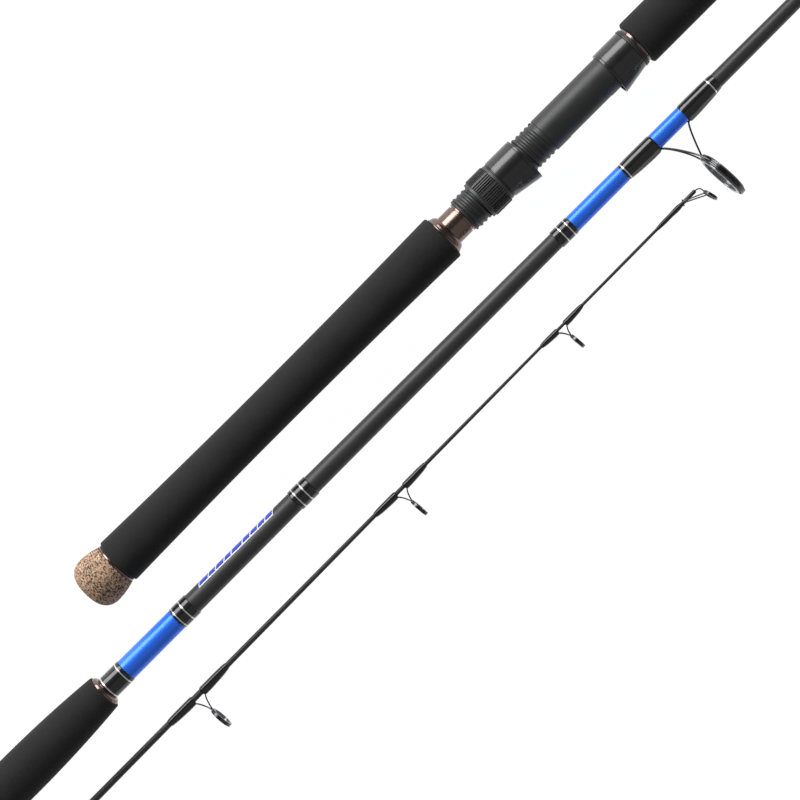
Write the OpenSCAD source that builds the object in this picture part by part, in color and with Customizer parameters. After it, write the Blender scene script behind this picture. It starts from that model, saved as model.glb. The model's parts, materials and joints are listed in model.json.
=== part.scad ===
// Fishing rod in three take-down sections, laid side by side on a flat surface.
// +X runs along the rods towards the tip, the guides point to -Y, and the sections lie on z = 0.
// Each section is drawn upright, +Z from its butt end, and then laid down.

/* [Layout] */
// Distance between the axes of the butt and middle sections
butt_gap = 48.6; // [40:0.1:70]
// Distance between the axes of the middle and tip sections, at the middle of the tip section
tip_gap = 39; // [28:0.1:60]
// How far the butt cap starts past the rear end of the middle section
butt_shift = 303.8; // [200:0.1:500]
// How far the tip section's rear end starts past the rear end of the middle section
tip_shift = -99; // [-300:1:0]
// Small turn of the tip section as it lies, in degrees
tip_yaw = 0.43; // [0:0.01:1]

/* [Handle] */
// Outer radius of the handle tube
tube_r = 8; // [7.4:0.1:9]
// Length of the cork butt cap
cap_len = 24.2; // [20:0.1:35]
// Largest radius of the cork butt cap
cap_r = 16.4; // [14:0.1:20]
// Length of the rear grip
rear_grip_len = 270.8; // [180:0.1:360]
// Radius of the rear grip at its ends
rear_grip_r = 15.1; // [13:0.1:18]
// Radius of the rear grip at its waist
waist_r = 13.7; // [12:0.1:14.5]
// Radius of the fore grip
fore_grip_r = 15.25; // [13.5:0.05:18]
// Length of the half of the fore grip that stays on the handle
fore_rear_len = 105; // [80:0.1:160]
// Length of the half of the fore grip on the middle section
fore_front_len = 190; // [140:0.1:240]

/* [Reel seat] */
// Outer radius of the reel seat barrel
barrel_r = 11.6; // [10.8:0.1:13]
// Length of the reel seat barrel
barrel_len = 141.7; // [130:0.1:180]
// Length of the threaded part of the barrel
thread_len = 66.8; // [60:0.1:80]
// Pitch of the thread
pitch = 3.5; // [2.5:0.1:4]
// Depth of the thread
thread_depth = 0.8; // [0.4:0.05:1]
// Radial running clearance of the nut and the moving hood
slip = 0.1; // [0.05:0.01:0.1]
// Length of the lock nut
nut_len = 16.8; // [12:0.1:20]
// Radius over the ribs of the lock nut
nut_r = 13.5; // [13:0.1:16]
// Where the lock nut starts, from the rear end of the barrel
nut_at = 12.4; // [10:0.1:20]
// Length of both hoods
hood_len = 19.3; // [15:0.1:24]
// Radius of the hoods away from the reel foot
hood_r = 13.1; // [12.9:0.1:15]
// How far the mouth of a hood reaches on the reel foot side
hood_reach = 16.2; // [15.8:0.1:19]
// Thickness of the wall over the reel foot pocket
hood_wall = 0.9; // [0.6:0.1:1.2]
// Thickness of the pad that lines a pocket
pad = 0.6; // [0.4:0.1:0.8]

/* [Blank] */
// Length of the middle blank ahead of the handle joint
mid_len = 1098; // [900:1:1300]
// Radius of the middle blank at the handle joint
mid_rear_r = 7.56; // [7:0.02:7.8]
// Radius of the middle blank at its front mouth
mid_front_r = 3.28; // [3:0.02:4]
// Wall of the middle blank
mid_wall = 1.2; // [0.8:0.1:1.4]
// Length of the spigot that plugs into the handle
spigot_len = 80; // [60:1:100]
// Radius of the spigot
spigot_r = 6.35; // [5.5:0.05:6.5]
// Length of the tip section ahead of its joint
tip_len = 770; // [640:1:900]
// Radius of the tip blank at its joint
tip_rear_r = 3; // [2.7:0.02:3]
// Radius of the tip blank over its thin front stretch
tip_front_r = 0.95; // [0.7:0.01:1]
// Length of the thin front stretch
tip_thin_len = 150; // [130:1:200]
// Length of the plug on the tip section
plug_len = 60; // [40:1:80]
// Radius of the plug
plug_r = 2.6; // [2.3:0.05:2.6]
// Radial clearance in both joints
joint_gap = 0.05; // [0.03:0.01:0.1]

/* [Guides] */
// Ring centre of the stripper guide, from the blank's axis
stripper_h = 41.8; // [36:0.1:50]
// Outer radius of the stripper guide's ring
stripper_r = 16.5; // [13:0.1:19]
// Distance from the front end of the fore grip to the stripper guide
stripper_at = 473.6; // [400:0.1:560]
// Lean of the ring towards the tip, in degrees
ring_lean = 4; // [0:0.5:8]
// Radius of the wire in the two large guides
big_wire_r = 0.55; // [0.4:0.05:0.7]
// Radius of the wire in the small guides
small_wire_r = 0.4; // [0.3:0.05:0.5]
// Thickness of a thread wrap with its coat
wrap_t = 0.75; // [0.6:0.05:1]
// Thickness of a thread wrap on the tip section
tip_wrap_t = 0.7; // [0.4:0.05:0.7]
// Thickness of a blue sleeve
sleeve_t = 0.35; // [0.2:0.05:0.5]

/* [Hidden] */
$fn = 64;

// Colours
foam = "#262829";
cork = "#c08a5c";
bronze = "#9a7c72";
seat_grey = "#3a3b3e";
gloss_black = "#131315";
blank_grey = "#46474a";
blue = "#3b78ff";
silver = "#c9ccd0";
wire_black = "#2a2b2e";
ceramic = "#5b5e63";

// Stations along the butt section
ring_z = cap_len;
ring_len = 2.4;
rear_grip_z = ring_z + ring_len;
collar_z = rear_grip_z + rear_grip_len;
collar_len = 17.1;
trim_len = 1.4;
barrel_z = collar_z + collar_len;
nut_z = barrel_z + nut_at;
washer_z = nut_z + nut_len;
washer_len = 0.9;
hood_z = washer_z + washer_len;
barrel_end = barrel_z + barrel_len;
flange_len = 2.5;
fixed_z = barrel_end - flange_len - hood_len;
fore_ring_len = 2.2;
fore_z = barrel_end + fore_ring_len;
butt_end = fore_z + fore_rear_len;
tube_start = 9;
tube_bore_r = spigot_r + joint_gap;
socket_len = spigot_len + 2;
socket_step = 0.5;
arbor_r = barrel_r - 1.9;

// Stations along the middle section
mid_end = spigot_len + mid_len;
check_z = spigot_len + fore_front_len;
check_len = 2.6;
wrap_1_z = check_z + check_len;
sleeve_1_z = wrap_1_z + 15.8;
wrap_2_z = sleeve_1_z + 42.4;
wrap_2_end = wrap_2_z + 13;
wrap_3_z = check_z + 158.9;
accent_len = 14.1;
wrap_4_z = check_z + 376.6;
sleeve_2_z = wrap_4_z + 13.5;
stripper_z = check_z + stripper_at;

// Ring guides: distances back from the tip-top's ring, and the second guide's from the end of the middle section
guide_3_back = 634;
guide_4_back = 424.4;
guide_5_back = 253.4;
guide_6_back = 117.1;
guide_2_back = 162;
guide_2_z = mid_end - guide_2_back;

// Guides: station, ring height, ring radius, ring wall, wire radius, rear foot root,
// front foot root, rear wrap end, front wrap end, lean, attaching angle of the rear legs
STATION = 0;
HEIGHT = 1;
RADIUS = 2;
WALL = 3;
WIRE = 4;
REAR_ROOT = 5;
FRONT_ROOT = 6;
REAR_END = 7;
FRONT_END = 8;
LEAN = 9;
SPREAD = 10;
stripper = [stripper_z, stripper_h, stripper_r, 4, big_wire_r, -13.8, 7.2, -41, 36.3, ring_lean, 50];
guide_2 = [guide_2_z, 32, 12, 3.2, big_wire_r, -10.5, 5.6, -33, 30, ring_lean, 50];
tip_joint = plug_len;
tip_ring_z = plug_len + tip_len;
guide_3 = [tip_ring_z - guide_3_back, 24.2, 8.4, 2, small_wire_r, -6.4, 4.2, -28, 26, ring_lean, 28];
guide_4 = [tip_ring_z - guide_4_back, 19.6, 7.2, 1.7, small_wire_r, -5, 2.4, -25, 23.8, ring_lean, 26];
guide_5 = [tip_ring_z - guide_5_back, 15.8, 6, 1.5, small_wire_r, -4.3, 2.7, -22, 21, ring_lean, 26];
guide_6 = [tip_ring_z - guide_6_back, 13.2, 5.15, 1.3, small_wire_r, -4, 2.1, -17.7, 17.1, ring_lean, 26];
tip_top = [tip_ring_z, 8.4, 4.65, 1.2, small_wire_r, 0, 0, 0, 0, 14, 62];
insert_len = 5;
fit_gap = 0.03;
function band_t(g) = g[WIRE] * 1.5;
function band_len(g) = g[WIRE] * 5.5;
function insert_half(g) = insert_len / 2 * min(1, g[WALL] / 4.4 + 0.1);

// How the three sections lie
function roll_for(g, z) = asin(max(0, (g[RADIUS] - z) / g[HEIGHT]));
butt_lie = cap_r;
mid_lie = fore_grip_r;
tip_lie = tip_rear_r + wrap_t;
mid_roll = max(roll_for(stripper, mid_lie), roll_for(guide_2, mid_lie));
tip_roll = max([for (g = [guide_3, guide_4, guide_5, guide_6, tip_top]) roll_for(g, tip_lie)]);
tip_pivot = 614;
x_low = min(0, tip_shift, butt_shift);
x_high = max(mid_end, tip_shift + tip_ring_z, butt_shift + butt_end);
x_mid = (x_low + x_high) / 2;
y_high = butt_gap + cap_r;
function low_side(g, roll) = g[HEIGHT] * cos(roll) + g[RADIUS];
tip_low = tip_gap + (tip_pivot - guide_3[STATION]) * sin(tip_yaw) + low_side(guide_3, tip_roll);
mid_low = low_side(stripper, mid_roll);
y_low = -max(tip_low, mid_low);
y_mid = (y_high + y_low) / 2;

module lay_butt() translate([butt_shift - x_mid, butt_gap - y_mid, butt_lie]) rotate([0, 90, 0]) children();
module lay_mid() translate([-x_mid, -y_mid, mid_lie]) rotate([-mid_roll, 0, 0]) rotate([0, 90, 0]) children();
module lay_tip()
    translate([tip_shift - x_mid + tip_pivot, -tip_gap - y_mid, tip_lie])
    rotate([0, 0, tip_yaw])
    rotate([-tip_roll, 0, 0])
    rotate([0, 90, 0])
    translate([0, 0, -tip_pivot])
    children();

// A turned solid: z and radius pairs, closed on the axis
module turned(points)
    rotate_extrude()
    polygon(concat([[0, points[0][0]]], [for (p = points) [p[1], p[0]]], [[0, points[len(points) - 1][0]]]));

// A turned piece with a straight bore
module turned_ring(points, bore) {
    z0 = points[0][0];
    z1 = points[len(points) - 1][0];
    difference() {
        turned(points);
        translate([0, 0, z0 - 1]) cylinder(h = z1 - z0 + 2, r = bore);
    }
}

// Radius of each blank at a station of its own section
function mid_r(z) = mid_rear_r + (mid_front_r - mid_rear_r) * (z - spigot_len) / mid_len;
function tip_r(z) =
    let (d = max(tip_ring_z - z, tip_thin_len))
    tip_front_r + (tip_rear_r - tip_front_r) * (d - tip_thin_len) / (tip_len - tip_thin_len);
thin_z = tip_ring_z - tip_thin_len;

// The part of a blank between two stations, grown by a coat
module mid_core(z0, z1, coat = 0)
    translate([0, 0, z0]) cylinder(h = z1 - z0, r1 = mid_r(z0) + coat, r2 = mid_r(z1) + coat);
module tip_core(z0, z1, coat = 0)
    turned([
        [z0, tip_r(z0) + coat],
        if (z0 < thin_z && z1 > thin_z) [thin_z, tip_r(thin_z) + coat],
        [z1, tip_r(z1) + coat]]);

// Butt section
module handle_tube()
    color(blank_grey) lay_butt() difference() {
        translate([0, 0, tube_start]) cylinder(h = butt_end - tube_start, r = tube_r);
        translate([0, 0, tube_start - 1]) cylinder(h = butt_end - tube_start, r = tube_bore_r - socket_step);
        translate([0, 0, butt_end - socket_len]) cylinder(h = socket_len + 1, r = tube_bore_r);
    }

cap_dome = 10.8;
cap_front_r = cap_r - 2.2;
function cap_arc(t) = [cap_dome * (1 - cos(t)), cap_r * pow(sin(t), 0.62)];
function cap_taper(t) = [cap_dome + (cap_len - cap_dome) * t, cap_r - (cap_r - cap_front_r) * t * t];
module butt_cap()
    color(cork) lay_butt() difference() {
        turned(concat([for (t = [3:6:87]) cap_arc(t)], [for (t = [0:0.2:1]) cap_taper(t)]));
        translate([0, 0, tube_start]) cylinder(h = cap_len, r = tube_r);
    }

butt_ring_r = cap_front_r - 0.2;
module butt_ring()
    color(bronze) lay_butt() turned_ring([
        [ring_z, butt_ring_r - 0.4],
        [ring_z + 0.3, butt_ring_r],
        [ring_z + 1.3, butt_ring_r],
        [ring_z + 1.5, butt_ring_r - 0.5],
        [ring_z + ring_len, butt_ring_r - 0.5]], tube_r);

waist_at = 0.46;
function grip_bow(t) = pow(abs(t - waist_at) / (t < waist_at ? waist_at : 1 - waist_at), 2);
function grip_at(t) = [rear_grip_z + rear_grip_len * t, waist_r + (rear_grip_r - waist_r) * grip_bow(t)];
edge = 1.4;
module rear_grip()
    color(foam) lay_butt() turned_ring(concat(
        [[rear_grip_z, rear_grip_r - edge]],
        [for (t = [0.01:0.049:0.99]) grip_at(t)],
        [for (a = [0:22.5:90])
            [collar_z - edge + edge * sin(a), rear_grip_r - edge + edge * cos(a)]]), tube_r);

flare_r = 13.2;
neck_r = 9.9;
flare_len = 5;
flare_drop = flare_r - neck_r;
lip = 1;
module rear_collar()
    color(bronze) lay_butt() turned_ring(concat(
        [[collar_z, flare_r - 0.2], [collar_z + 0.2, flare_r], [collar_z + lip, flare_r]],
        [for (a = [15:15:90])
            [collar_z + lip + (flare_len - lip) * sin(a), flare_r - flare_drop * (1 - cos(a))]],
        [[barrel_z - trim_len - 0.6, neck_r], [barrel_z - trim_len - 0.6, neck_r - 0.5],
            [barrel_z - trim_len, neck_r - 0.5]]), tube_r);

module collar_trim_ring()
    color(bronze) lay_butt() turned_ring([
        [barrel_z - trim_len, neck_r],
        [barrel_z - trim_len + 0.3, neck_r + 0.4],
        [barrel_z - 0.3, neck_r + 0.4],
        [barrel_z, neck_r]], tube_r);

// Reel seat
bushing_len = 26;
module seat_bushings()
    color(silver) lay_butt() for (i = [0:2])
        translate([0, 0, barrel_z + 4 + i * (barrel_len - 8 - bushing_len) / 2]) difference() {
            cylinder(h = bushing_len, r = arbor_r);
            translate([0, 0, -1]) cylinder(h = bushing_len + 2, r = tube_r);
        }

thread_turns = floor(thread_len / pitch);
crest_r = barrel_r;
root_r = barrel_r - thread_depth;
bed_z = barrel_z + thread_len + 11;
bed_end = fixed_z - 7;
bed_depth = 0.35;
key_w = 3;
key_depth = 0.9;
key_gap = 0.1;
function thread_ridge(i) = [
    [barrel_z + pitch * i + pitch * 0.25, root_r],
    [barrel_z + pitch * i + pitch * 0.45, crest_r],
    [barrel_z + pitch * i + pitch * 0.7, crest_r],
    [barrel_z + pitch * i + pitch * 0.9, root_r]];
module seat_barrel()
    color(seat_grey) lay_butt() difference() {
        turned(concat(
            [[barrel_z, root_r]],
            [for (i = [0:thread_turns - 1]) each thread_ridge(i)],
            [[barrel_z + thread_len, root_r], [barrel_z + thread_len, barrel_r], [barrel_end, barrel_r]]));
        translate([0, 0, barrel_z - 1]) cylinder(h = barrel_len + 2, r = arbor_r);
        translate([0, -2 * barrel_r + bed_depth, (bed_z + bed_end) / 2])
            cube([2 * barrel_r, 2 * barrel_r, bed_end - bed_z], center = true);
        translate([-key_w / 2, barrel_r - key_depth, barrel_z - 1]) cube([key_w, 2, thread_len + 41]);
    }

// The outer form of a hood, wide at its mouth on the reel foot side
cheek_r = 10;
disc = 0.6;
module hood_form()
    hull() {
        cylinder(h = hood_len, r = hood_r);
        translate([0, cheek_r - hood_r, 0]) cylinder(h = disc, r = cheek_r);
        translate([0, cheek_r - hood_reach, hood_len - disc]) cylinder(h = disc, r = cheek_r);
    }
// The pocket that takes one end of the reel foot, or the pad's inner face when inset
pocket_half = 8.6;
pocket_back = 3;
module pocket(inset, past)
    hull() {
        translate([0, pocket_half - barrel_r - 0.6, pocket_back + inset])
            cylinder(h = 0.1, r = pocket_half - inset);
        translate([0, pocket_half + hood_wall - hood_reach, hood_len + past])
            cylinder(h = 0.1, r = pocket_half - inset);
    }
module hood_shell(bore)
    difference() {
        hood_form();
        pocket(0, 0.2);
        translate([0, 0, -1]) cylinder(h = hood_len + 2, r = bore);
    }
module hood_pad(bore)
    difference() {
        pocket(fit_gap, 0);
        pocket(fit_gap + pad, 0.2);
        translate([0, 0, -1]) cylinder(h = hood_len + 2, r = bore);
        translate([0, 0, hood_len - 0.4]) cylinder(h = 2, r = 3 * barrel_r);
    }
module to_fixed() translate([0, 0, fixed_z + hood_len]) rotate([0, 180, 0]) children();

slide_r = barrel_r + slip;
module fixed_hood() color(gloss_black) lay_butt() to_fixed() hood_shell(barrel_r);
module fixed_hood_pad() color(seat_grey) lay_butt() to_fixed() hood_pad(barrel_r);
module moving_hood()
    color(gloss_black) lay_butt() translate([0, 0, hood_z]) {
        hood_shell(slide_r);
        translate([-key_w / 2 + key_gap, barrel_r - key_depth + key_gap, 1])
            cube([key_w - 2 * key_gap, key_depth + slip, hood_len - 2]);
    }
module moving_hood_pad() color(seat_grey) lay_butt() translate([0, 0, hood_z]) hood_pad(slide_r);

washer_r = hood_r - 0.3;
face_gap = 0.05;
module nut_washer()
    color(bronze) lay_butt() turned_ring([
        [washer_z + face_gap, washer_r],
        [hood_z, washer_r]], slide_r);

panel_count = 10;
ribs_per_panel = 4;
rib_step = 360 / panel_count / (ribs_per_panel + 1.6);
rib_depth = 0.45;
nut_lip_len = 2.1;
module rib_outline()
    difference() {
        circle(r = nut_r);
        for (p = [0:panel_count - 1])
            for (k = [0:ribs_per_panel])
                rotate(p * 360 / panel_count + k * rib_step)
                    translate([nut_r - rib_depth, -0.35]) square([1, 0.7]);
    }
module lock_nut()
    color(seat_grey) lay_butt() translate([0, 0, nut_z]) difference() {
        union() {
            cylinder(h = nut_len, r = nut_r - 0.7);
            translate([0, 0, nut_lip_len]) linear_extrude(nut_len - 2 * nut_lip_len) rib_outline();
        }
        translate([0, 0, -1]) cylinder(h = nut_len + 2, r = slide_r);
    }

flange_r = 13.5;
module seat_flange_ring()
    color(seat_grey) lay_butt() turned_ring([
        [barrel_end - flange_len, flange_r - 0.3],
        [barrel_end - flange_len + 0.3, flange_r],
        [barrel_end - 1.3, flange_r],
        [barrel_end - 1.1, flange_r - 0.3],
        [barrel_end - 0.3, flange_r - 0.3],
        [barrel_end, flange_r - 0.6]], barrel_r);

fore_ring_r = 12.5;
module fore_ring()
    color(bronze) lay_butt() turned_ring([
        [barrel_end, fore_ring_r - 0.3],
        [barrel_end + 0.3, fore_ring_r],
        [fore_z, fore_ring_r]], tube_r);

module fore_grip_rear()
    color(foam) lay_butt() turned_ring(concat(
        [for (a = [0:30:90]) [fore_z + edge - edge * cos(a), fore_grip_r - edge + edge * sin(a)]],
        [[butt_end - 0.3, fore_grip_r], [butt_end, fore_grip_r - 0.3]]), tube_r);

// Middle section
cavity_z = spigot_len + 62;
core_r = spigot_r - 0.4;
module mid_blank()
    color(blank_grey) lay_mid() difference() {
        mid_core(spigot_len, mid_end);
        translate([0, 0, spigot_len - 1]) cylinder(h = cavity_z - spigot_len + 1, r = core_r);
        translate([0, 0, cavity_z - 0.5]) cylinder(
            h = mid_end - plug_len - cavity_z + 1,
            r1 = mid_r(cavity_z) - mid_wall,
            r2 = plug_r - 0.2);
        translate([0, 0, mid_end - plug_len]) cylinder(h = plug_len + 1, r = plug_r + joint_gap);
    }
module spigot()
    color(seat_grey) lay_mid() turned([
        [0, spigot_r - 0.8],
        [0.8, spigot_r],
        [spigot_len, spigot_r],
        [spigot_len, core_r],
        [cavity_z - 1, core_r]]);

taper_z = spigot_len + 0.62 * fore_front_len;
grip_nose_r = 11.55;
grip_body_r = fore_grip_r - 0.6;
nose_drop = grip_body_r - grip_nose_r;
function nose(t) = [taper_z + (check_z - taper_z) * t, grip_body_r - nose_drop * pow(t, 2.1)];
module fore_grip_front()
    color(foam) lay_mid() difference() {
        turned(concat(
            [[spigot_len, fore_grip_r - 0.3], [spigot_len + 0.3, fore_grip_r]],
            [for (t = [0:0.125:1]) nose(t)]));
        mid_core(spigot_len - 1, check_z + 1);
    }

check_r = 10.2;
module winding_check()
    color(bronze) lay_mid() difference() {
        turned(concat(
            [[check_z, check_r], [check_z + 0.5, check_r]],
            [for (a = [18:18:90]) [check_z + 0.5 + (check_len - 0.5) * sin(a),
                check_r - (check_r - mid_r(wrap_1_z) - wrap_t - 0.2) * (1 - cos(a))]]));
        mid_core(check_z - 1, wrap_1_z + 1);
    }

// A coat around the middle blank with eased ends, and grooves for trim bands
band_w = 0.8;
band_depth = 0.2;
ease = 0.5;
module mid_coat(z0, z1, t)
    difference() {
        turned([
            [z0, mid_r(z0) + t - ease / 2],
            [z0 + ease, mid_r(z0) + t],
            [z1 - ease, mid_r(z1) + t],
            [z1, mid_r(z1) + t - ease / 2]]);
        mid_core(z0 - 1, z1 + 1);
        for (z = band_stations)
            if (z > z0 && z < z1) band_ring(z);
    }
band_stations = [wrap_1_z + 1.4, sleeve_1_z - 2.6, wrap_2_z + 1.7, wrap_2_z + 7.6, wrap_3_z + 3,
    wrap_3_z + 8.8, wrap_4_z + 5.3, wrap_4_z + 10.6, stripper_z - 39.2, stripper_z + 31.6];
module band_ring(z)
    translate([0, 0, z - band_w / 2]) difference() {
        cylinder(h = band_w, r = mid_r(z) + wrap_t + 0.02);
        translate([0, 0, -1]) cylinder(h = band_w + 2, r = mid_r(z) + wrap_t - band_depth);
    }
module check_wrap() color(gloss_black) lay_mid() mid_coat(wrap_1_z, sleeve_1_z, wrap_t);
module rear_sleeve() color(blue) lay_mid() mid_coat(sleeve_1_z, wrap_2_z, sleeve_t);
module sleeve_wrap() color(gloss_black) lay_mid() mid_coat(wrap_2_z, wrap_2_end, wrap_t);
module accent_wrap() color(gloss_black) lay_mid() mid_coat(wrap_3_z, wrap_3_z + accent_len, wrap_t);
module front_accent_wrap() color(gloss_black) lay_mid() mid_coat(wrap_4_z, sleeve_2_z, wrap_t);
module front_sleeve()
    color(blue) lay_mid() mid_coat(sleeve_2_z, stripper_z + stripper[REAR_END], sleeve_t);
module bridge_sleeve()
    color(blue) lay_mid() difference() {
        mid_coat(stripper_z + stripper[REAR_ROOT] - 1.6, stripper_z + stripper[FRONT_ROOT] + 1.6, sleeve_t);
        guide_feet(stripper, mid_r(stripper_z), fit_gap);
    }
module trim_bands() color(silver) lay_mid() for (z = band_stations) band_ring(z);
module mid_ferrule_wrap() color(gloss_black) lay_mid() mid_coat(mid_end - 46, mid_end - 0.5, wrap_t);

// Guides. The foot lies on the guide side of the blank, and the wraps cover it.
foot_out = 1.6;
foot_root_t = 1.1;
foot_end_t = 0.35;
function foot_w(g) = 4.4 * g[WIRE];
// Side outline of one foot between its root and its end, under a wrap
module foot(g, z_root, z_end, r_root, r_end, grow)
    rotate([0, -90, 0]) linear_extrude(foot_w(g) + 2 * grow, center = true) polygon([
        [z_root, -r_root - 0.05 + grow],
        [z_end, -r_end - 0.05 + grow],
        [z_end, -r_end - foot_end_t - grow],
        [z_root, -r_root - foot_root_t - grow]]);
function rear_foot_end(g) = g[REAR_END] + 3.5;
function front_foot_end(g) = g[FRONT_END] - 3.5;
module guide_feet(g, r, grow) {
    z = g[STATION];
    fall = (mid_rear_r - mid_front_r) / mid_len;
    k = r > tip_rear_r ? fall : tip_fall;
    foot(g, z + g[REAR_ROOT], z + rear_foot_end(g), r - k * g[REAR_ROOT], r - k * rear_foot_end(g), grow);
    foot(g, z + g[FRONT_ROOT], z + front_foot_end(g), r - k * g[FRONT_ROOT], r - k * front_foot_end(g), grow);
}
tip_fall = (tip_rear_r - tip_front_r) / (tip_len - tip_thin_len);

// A wire swept along a smooth path
wire_sides = 10;
wire_steps = 7;
function bend(a, b, c, t) = (1 - t) * (1 - t) * a + 2 * t * (1 - t) * b + t * t * c;
function path(a, b, c) = [for (i = [0:wire_steps]) bend(a, b, c, i / wire_steps)];
function unit(v) = v / norm(v);
function heading(p, i) = unit(p[min(i + 1, len(p) - 1)] - p[max(i - 1, 0)]);
function loop_at(c, t, r) =
    let (n = unit(cross(t, [1, 0, 0])), b = cross(t, n))
    [for (k = [0:wire_sides - 1]) c + r * (cos(k * 360 / wire_sides) * n + sin(k * 360 / wire_sides) * b)];
module wire(p, r) {
    last = len(p) - 1;
    points = [for (i = [0:last]) each loop_at(p[i], heading(p, i), r)];
    sides = [for (i = [0:last - 1]) for (k = [0:wire_sides - 1])
        [i * wire_sides + k, (i + 1) * wire_sides + k,
            (i + 1) * wire_sides + (k + 1) % wire_sides, i * wire_sides + (k + 1) % wire_sides]];
    caps = [[for (k = [0:wire_sides - 1]) k], [for (k = [wire_sides - 1:-1:0]) last * wire_sides + k]];
    polyhedron(points = points, faces = concat(sides, caps));
}

module on_ring(g) translate([0, -g[HEIGHT], g[STATION]]) rotate([-g[LEAN], 0, 0]) children();
module tube_ring(h, outer, inner)
    difference() {
        cylinder(h = h, r = outer, center = true);
        cylinder(h = h + 2, r = inner, center = true);
    }
// A point on the frame's band, at an angle from the side nearest the blank
function band_point(g, a) =
    let (r = g[RADIUS] - band_t(g) / 2)
    [r * sin(a), -g[HEIGHT] + r * cos(a) * cos(g[LEAN]), g[STATION] - r * cos(a) * sin(g[LEAN])];
module legs(g, r) {
    z = g[STATION];
    y = -r - foot_root_t / 2;
    for (side = [-1, 1]) {
        top = band_point(g, side * g[SPREAD]);
        root = [side * g[WIRE] * 1.9, y, z + g[REAR_ROOT] - 0.6];
        knee = [side * g[WIRE] * 5, y - 1.2, z + g[REAR_ROOT] + 1.2];
        wire(path(root, knee * 0.6 + top * 0.4, top), g[WIRE]);
    }
    crown = band_point(g, 0);
    front = [0, y, z + g[FRONT_ROOT] + 0.6];
    wire(path(front, [0, y - 1.5, z + g[FRONT_ROOT] - 1.8] * 0.5 + crown * 0.5, crown), g[WIRE] * 1.05);
}
module guide_frame(g, r)
    color(wire_black) union() {
        on_ring(g) tube_ring(band_len(g), g[RADIUS], g[RADIUS] - band_t(g));
        guide_feet(g, r, 0);
        legs(g, r);
    }
function cushioned(g) = g[WALL] > 3;
function insert_r(g) = g[RADIUS] - band_t(g) - (cushioned(g) ? 1 : 0) - fit_gap;
module guide_ring(g)
    color(ceramic) on_ring(g) rotate_extrude() {
        inner = g[RADIUS] - g[WALL];
        outer = insert_r(g);
        half = insert_half(g);
        c = min(0.45, (outer - inner) * 0.35);
        polygon([
            [inner, c - half], [inner + c, -half], [outer - c, -half], [outer, c - half],
            [outer, half - c], [outer - c, half], [inner + c, half], [inner, half - c]]);
    }
module guide_cushion(g)
    color(seat_grey) on_ring(g)
        tube_ring(band_len(g) + 0.6, g[RADIUS] - band_t(g) - fit_gap, insert_r(g) + fit_gap);

// A wrap over a foot: a coat with a second, shifted coat that swallows the foot
module foot_wrap(z0, z1, r0, r1, t, g)
    union() {
        turned([
            [z0, r0 + t * 0.5], [z0 + ease, r0 + t],
            [z1 - ease, r1 + t], [z1, r1 + t * 0.5]]);
        translate([0, -foot_root_t, z0 + 2]) cylinder(h = z1 - z0 - 2, r1 = r0 * 0.9 + t, r2 = r1 * 0.9 + t);
    }
module wrap_pair(g, r, k, t)
    for (side = [-1, 1]) {
        root = side < 0 ? g[REAR_ROOT] - foot_out : g[FRONT_ROOT] + foot_out;
        end = side < 0 ? g[REAR_END] : g[FRONT_END];
        translate([0, 0, g[STATION] + end]) mirror([0, 0, side > 0 ? 1 : 0])
            foot_wrap(0, abs(end - root), r - k * end, r - k * root, t, g);
    }
wrap_reach = 60;
module mid_wraps(g)
    color(gloss_black) lay_mid() difference() {
        wrap_pair(g, mid_r(g[STATION]), (mid_rear_r - mid_front_r) / mid_len, wrap_t);
        mid_core(g[STATION] - wrap_reach, g[STATION] + wrap_reach);
        guide_feet(g, mid_r(g[STATION]), fit_gap);
        for (z = band_stations)
            if (abs(z - g[STATION]) < wrap_reach) band_cut(z);
    }
module band_cut(z)
    translate([0, 0, z - band_w / 2]) difference() {
        cylinder(h = band_w, r = 3 * mid_rear_r);
        translate([0, 0, -1]) cylinder(h = band_w + 2, r = mid_r(z) + wrap_t - band_depth);
    }
module tip_wraps(g)
    color(gloss_black) lay_tip() difference() {
        wrap_pair(g, tip_r(g[STATION]), g[STATION] < thin_z ? tip_fall : 0, tip_wrap_t);
        tip_core(g[STATION] - wrap_reach, min(g[STATION] + wrap_reach, tip_ring_z));
        guide_feet(g, tip_r(g[STATION]), fit_gap);
    }

module stripper_frame() lay_mid() guide_frame(stripper, mid_r(stripper_z));
module stripper_cushion() lay_mid() guide_cushion(stripper);
module stripper_ring() lay_mid() guide_ring(stripper);
module stripper_wraps() mid_wraps(stripper);
module guide_2_frame() lay_mid() guide_frame(guide_2, mid_r(guide_2_z));
module guide_2_cushion() lay_mid() guide_cushion(guide_2);
module guide_2_ring() lay_mid() guide_ring(guide_2);
module guide_2_wraps() mid_wraps(guide_2);

// Tip section
module tip_blank()
    color(blank_grey) lay_tip() union() {
        turned([[0, plug_r - 0.4], [0.6, plug_r], [tip_joint, plug_r]]);
        tip_core(tip_joint, tube_end - 4);
    }
module tip_ferrule_wrap()
    color(gloss_black) lay_tip() difference() {
        turned([
            [tip_joint + 0.5, tip_r(tip_joint) + wrap_t - ease / 2],
            [tip_joint + 1, tip_r(tip_joint) + wrap_t],
            [tip_joint + 21.5, tip_r(tip_joint + 22) + wrap_t],
            [tip_joint + 22, tip_r(tip_joint + 22) + wrap_t - ease / 2]]);
        tip_core(tip_joint, tip_joint + 24);
    }
module guide_3_frame() lay_tip() guide_frame(guide_3, tip_r(guide_3[STATION]));
module guide_3_ring() lay_tip() guide_ring(guide_3);
module guide_3_wraps() tip_wraps(guide_3);
module guide_4_frame() lay_tip() guide_frame(guide_4, tip_r(guide_4[STATION]));
module guide_4_ring() lay_tip() guide_ring(guide_4);
module guide_4_wraps() tip_wraps(guide_4);
module guide_5_frame() lay_tip() guide_frame(guide_5, tip_r(guide_5[STATION]));
module guide_5_ring() lay_tip() guide_ring(guide_5);
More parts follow.
